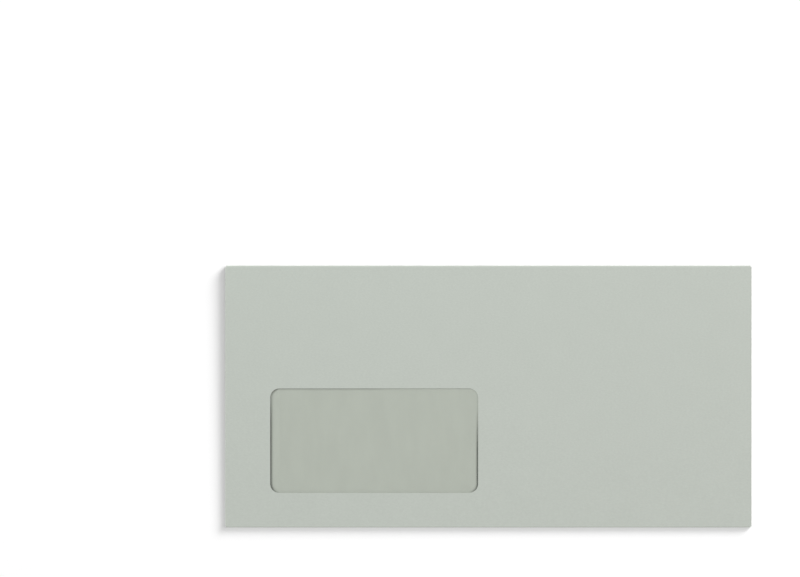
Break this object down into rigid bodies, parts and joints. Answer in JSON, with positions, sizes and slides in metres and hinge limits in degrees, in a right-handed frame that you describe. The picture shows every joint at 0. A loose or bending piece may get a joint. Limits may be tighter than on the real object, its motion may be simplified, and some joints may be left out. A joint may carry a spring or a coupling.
{
  "type": "window envelope",
  "caption": "Long letter envelope with an address window at the lower left, folded from one sheet of grey-green paper, with a self-sealing flap on the back.",
  "frame": {"origin": "under the middle of the envelope, on the surface that its closed seal flap and the fold of its lower edge lie on", "axes": "+X to the right along the long side as the face with the window is read, +Y up the face to the seal flap's fold, +Z out of the face with the window"},
  "size_m": [0.229, 0.114, 0.0013],
  "materials": {
    "paper": "matte",
    "film": "gloss",
    "gum": "satin",
    "adhesive": "gloss",
    "liner": "satin"
  },
  "bodies": {
    "root": {"envelope_paper": "paper", "window_film": "film", "window_gum": "gum", "side_seam_gum_left": "gum", "side_seam_gum_right": "gum", "seal_adhesive": "adhesive", "release_liner": "liner"}
  },
  "joints": []
}
